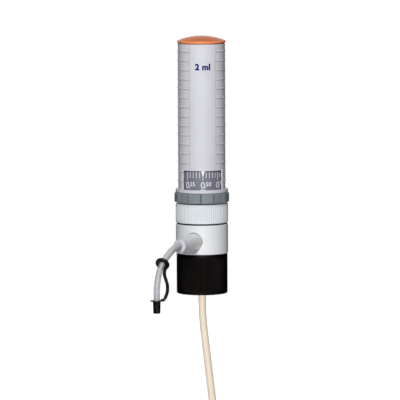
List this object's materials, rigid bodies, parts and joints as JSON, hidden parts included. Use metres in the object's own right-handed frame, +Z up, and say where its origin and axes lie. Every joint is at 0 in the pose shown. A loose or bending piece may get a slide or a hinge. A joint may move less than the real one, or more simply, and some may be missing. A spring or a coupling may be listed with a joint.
{
  "type": "bottle top dispenser",
  "caption": "Bottle top dispenser: a housing lifts on a guide column to draw a dose, a ring sets the volume in a window, a side nozzle carries a bent capped tube, a screw adapter fits a bottle.",
  "frame": {"origin": "centre of the bottle adapter's bottom rim, on the axis of the bottle's neck", "axes": "+Z up along the neck's axis, -Y the front with the scale window, the nozzle points 22.4 degrees from -Y towards -X"},
  "size_m": [0.0866, 0.162, 0.4593],
  "materials": {
    "adapter_black": "matte black polypropylene, fine upright knurl",
    "block_white": "satin white moulding",
    "nut_white": "satin white moulding, fine upright knurl",
    "ring_grey": "satin mid grey",
    "housing_grey": "satin pale lavender grey",
    "drum_grey": "matte grey with light scale marks",
    "column_white": "natural acetal",
    "cap_orange": "glossy orange",
    "clear_glass": "clear borosilicate glass",
    "ceramic_white": "polished white ceramic",
    "ptfe_white": "waxy white fluoropolymer",
    "seal_rubber": "dark olive fluoro rubber",
    "steel": "bright stainless steel",
    "nozzle_white": "satin white moulding",
    "collar_milky": "milky translucent moulding",
    "tube_milky": "milky fluoropolymer tube",
    "strap_black": "black soft moulding"
  },
  "bodies": {
    "adapter": {"bottle_adapter": "adapter_black"},
    "valve_body": {"valve_block": "block_white", "adapter_retaining_flange": "ptfe_white", "neck_gasket": "seal_rubber", "inlet_valve_housing": "ptfe_white", "inlet_valve_seal": "seal_rubber", "intake_tube": "tube_milky", "barrel_gasket": "seal_rubber", "glass_barrel": "clear_glass", "guide_column": "column_white", "drum_retaining_ring": "steel", "drum_friction_washer": "steel", "nozzle_body": "nozzle_white", "nozzle_seal": "seal_rubber", "outlet_valve_seat": "ptfe_white", "outlet_spring": "steel", "tube_collar": "collar_milky", "nut_gasket": "seal_rubber", "delivery_tube": "tube_milky", "cap_ring": "strap_black", "cap_strap": "strap_black"},
    "housing": {"housing": "housing_grey", "guide_sleeve": "column_white", "top_cap": "cap_orange", "deck_screws": "steel", "piston": "ceramic_white", "piston_seal": "ptfe_white", "piston_rod": "steel", "calibration_nut": "steel"},
    "volume_ring": {"volume_ring": "ring_grey", "scale_drum": "drum_grey"},
    "coupling_nut": {"coupling_nut": "nut_white"},
    "jet_cap": {"jet_cap": "strap_black"},
    "inlet_ball": {"inlet_ball": "ceramic_white"},
    "outlet_ball": {"outlet_ball": "ceramic_white"}
  },
  "joints": [
    {"name": "instrument_swivel", "type": "hinge", "parent": "adapter", "child": "valve_body", "pos_m": [0, 0, 0.026], "axis": [0, 0, 1], "continuous": true},
    {"name": "housing_lift", "type": "slide", "parent": "valve_body", "child": "housing", "axis": [0, 0, 1], "range_m": [0, 0.03609]},
    {"name": "volume_setting", "type": "hinge", "parent": "valve_body", "child": "volume_ring", "pos_m": [0, 0, 0.0988], "axis": [0, 0, -1], "range_deg": [-45, 270]},
    {"name": "coupling_nut_turn", "type": "hinge", "parent": "valve_body", "child": "coupling_nut", "pos_m": [0, 0, 0.0825], "axis": [0, 0, 1], "range_deg": [0, 540]},
    {"name": "jet_cap_pull", "type": "slide", "parent": "valve_body", "child": "jet_cap", "axis": [0, 0, -1], "range_m": [0, 0.013], "deforming": ["cap_strap"]},
    {"name": "inlet_ball_lift", "type": "slide", "parent": "valve_body", "child": "inlet_ball", "axis": [0, 0, 1], "range_m": [0, 0.0012]},
    {"name": "outlet_ball_lift", "type": "slide", "parent": "valve_body", "child": "outlet_ball", "axis": [-0.3811, -0.9245, 0], "range_m": [0, 0.0012], "stiffness_N_per_m": 30, "springref_m": -0.001, "deforming": ["outlet_spring"]}
  ]
}
